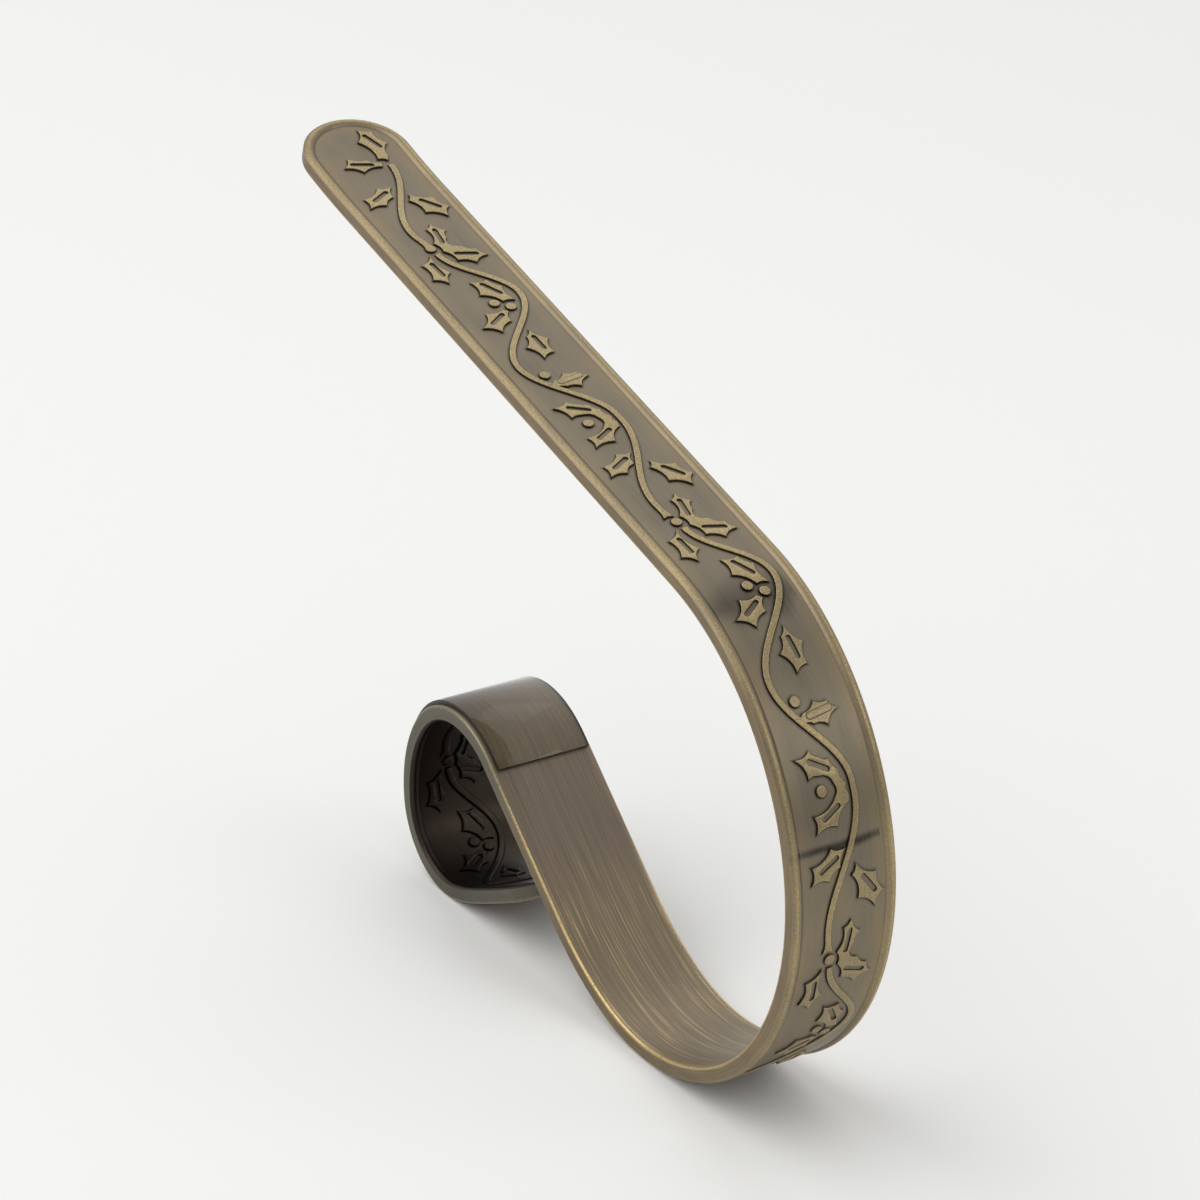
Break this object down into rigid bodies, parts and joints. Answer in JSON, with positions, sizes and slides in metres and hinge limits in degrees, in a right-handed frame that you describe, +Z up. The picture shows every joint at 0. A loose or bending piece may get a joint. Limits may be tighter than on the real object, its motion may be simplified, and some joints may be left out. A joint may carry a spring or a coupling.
{
  "type": "mantel stocking holder",
  "caption": "Bent metal strip that clips over a mantel shelf and carries a hanging stocking on its front hook, with an embossed holly vine and a clear grip film.",
  "frame": {"origin": "centre of the object's box in plan, at the level of the surface it stands on", "axes": "+Z up; +X from the clip's open end towards the big bend, along the strip's length; Y across the strip, with the camera's side at -Y"},
  "size_m": [0.215, 0.0254, 0.1644],
  "materials": {
    "antique_brass": "antique brass, dark patina in the recesses and worn bright on the relief and rims, brushed lengthwise",
    "clear_film": "clear soft film, slightly yellow at its cut edges"
  },
  "bodies": {
    "root": {"holder_strap": "antique_brass", "grip_pad": "clear_film"}
  },
  "joints": []
}
